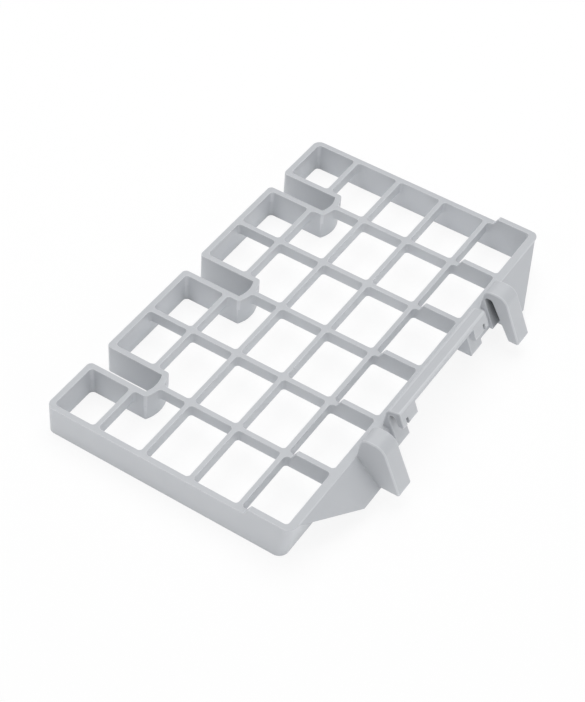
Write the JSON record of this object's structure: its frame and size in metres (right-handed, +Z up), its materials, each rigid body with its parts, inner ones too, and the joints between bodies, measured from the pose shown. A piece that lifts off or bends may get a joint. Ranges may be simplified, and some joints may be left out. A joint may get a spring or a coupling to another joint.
{
  "type": "dishwasher cup rack",
  "caption": "Moulded plastic lattice rack with stem slots, a tall rim and a hook rail that hangs on a dishwasher basket wire to hold cups and glasses.",
  "frame": {"origin": "centre of the rack's box, on the plane that the tall rim stands on", "axes": "+X from the finger end towards the hook rail, +Y along the rack, +Z up from the rim's lower edge to the ribs"},
  "size_m": [0.163, 0.2434, 0.034],
  "materials": {
    "grey_plastic": "satin moulded"
  },
  "bodies": {
    "root": {"cup_rack": "grey_plastic"}
  },
  "joints": []
}
